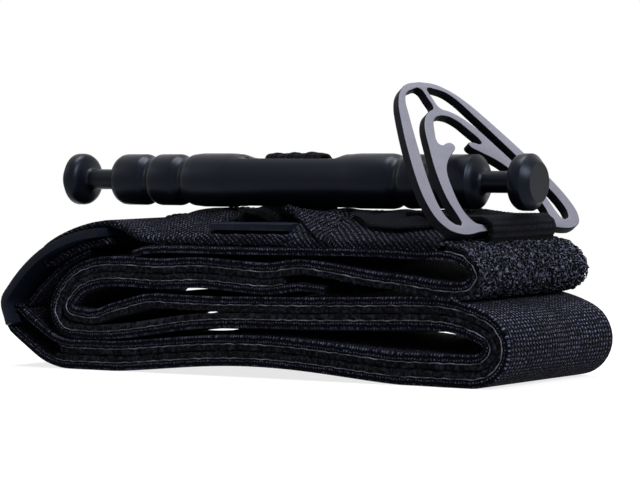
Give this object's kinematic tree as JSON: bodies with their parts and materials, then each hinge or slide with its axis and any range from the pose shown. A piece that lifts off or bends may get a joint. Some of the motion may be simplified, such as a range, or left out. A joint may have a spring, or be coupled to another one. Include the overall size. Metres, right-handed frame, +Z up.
{
  "type": "tourniquet",
  "caption": "Windlass tourniquet folded for storage: a wide woven strap wound into a flat C, a turned rod that twists an inner band tight, and a triangular ring that swings over the rod to lock it",
  "frame": {"origin": "On the table, under the middle of the folded tourniquet's box", "axes": "+X along the folded pack towards the ring, +Y across the strap, away from the side where the rod's plain end lies, +Z up"},
  "size_m": [0.1512, 0.0514, 0.0655],
  "materials": {
    "webbing": "woven nylon, matt",
    "smooth_webbing": "calendered nylon, slight sheen",
    "band": "fine woven nylon",
    "keeper": "ribbed nylon tape",
    "pile": "brushed loop pile",
    "thread": "bonded nylon thread",
    "plastic": "moulded, satin",
    "anodised": "turned and black anodised",
    "grey_coat": "grey powder coat"
  },
  "bodies": {
    "strap_pack": {"strap_webbing": "webbing", "loop_tape": "pile", "hook_tape": "pile", "buckle_plate": "plastic", "buckle_liner": "webbing", "sleeve_left": "webbing", "sleeve_right": "webbing", "rod_flap": "smooth_webbing", "guide_plate": "plastic", "tension_band": "band", "ring_keeper": "keeper", "tack_sleeve_left": "thread", "tack_buckle_wrap": "thread", "tack_sleeve_right": "thread", "tack_ring_keeper": "thread"},
    "windlass": {"windlass_rod": "anodised"},
    "ring": {"retention_ring": "grey_coat"}
  },
  "joints": [
    {"name": "ring_hinge", "type": "hinge", "parent": "strap_pack", "child": "ring", "pos_m": [0.061, 0, 0.03254], "axis": [0, 1, 0], "range_deg": [0, 125]},
    {"name": "windlass_turn", "type": "hinge", "parent": "strap_pack", "child": "windlass", "pos_m": [0.0026, -0.0049, 0.0436], "axis": [0, 0, 1], "range_deg": [-2, 2]}
  ]
}
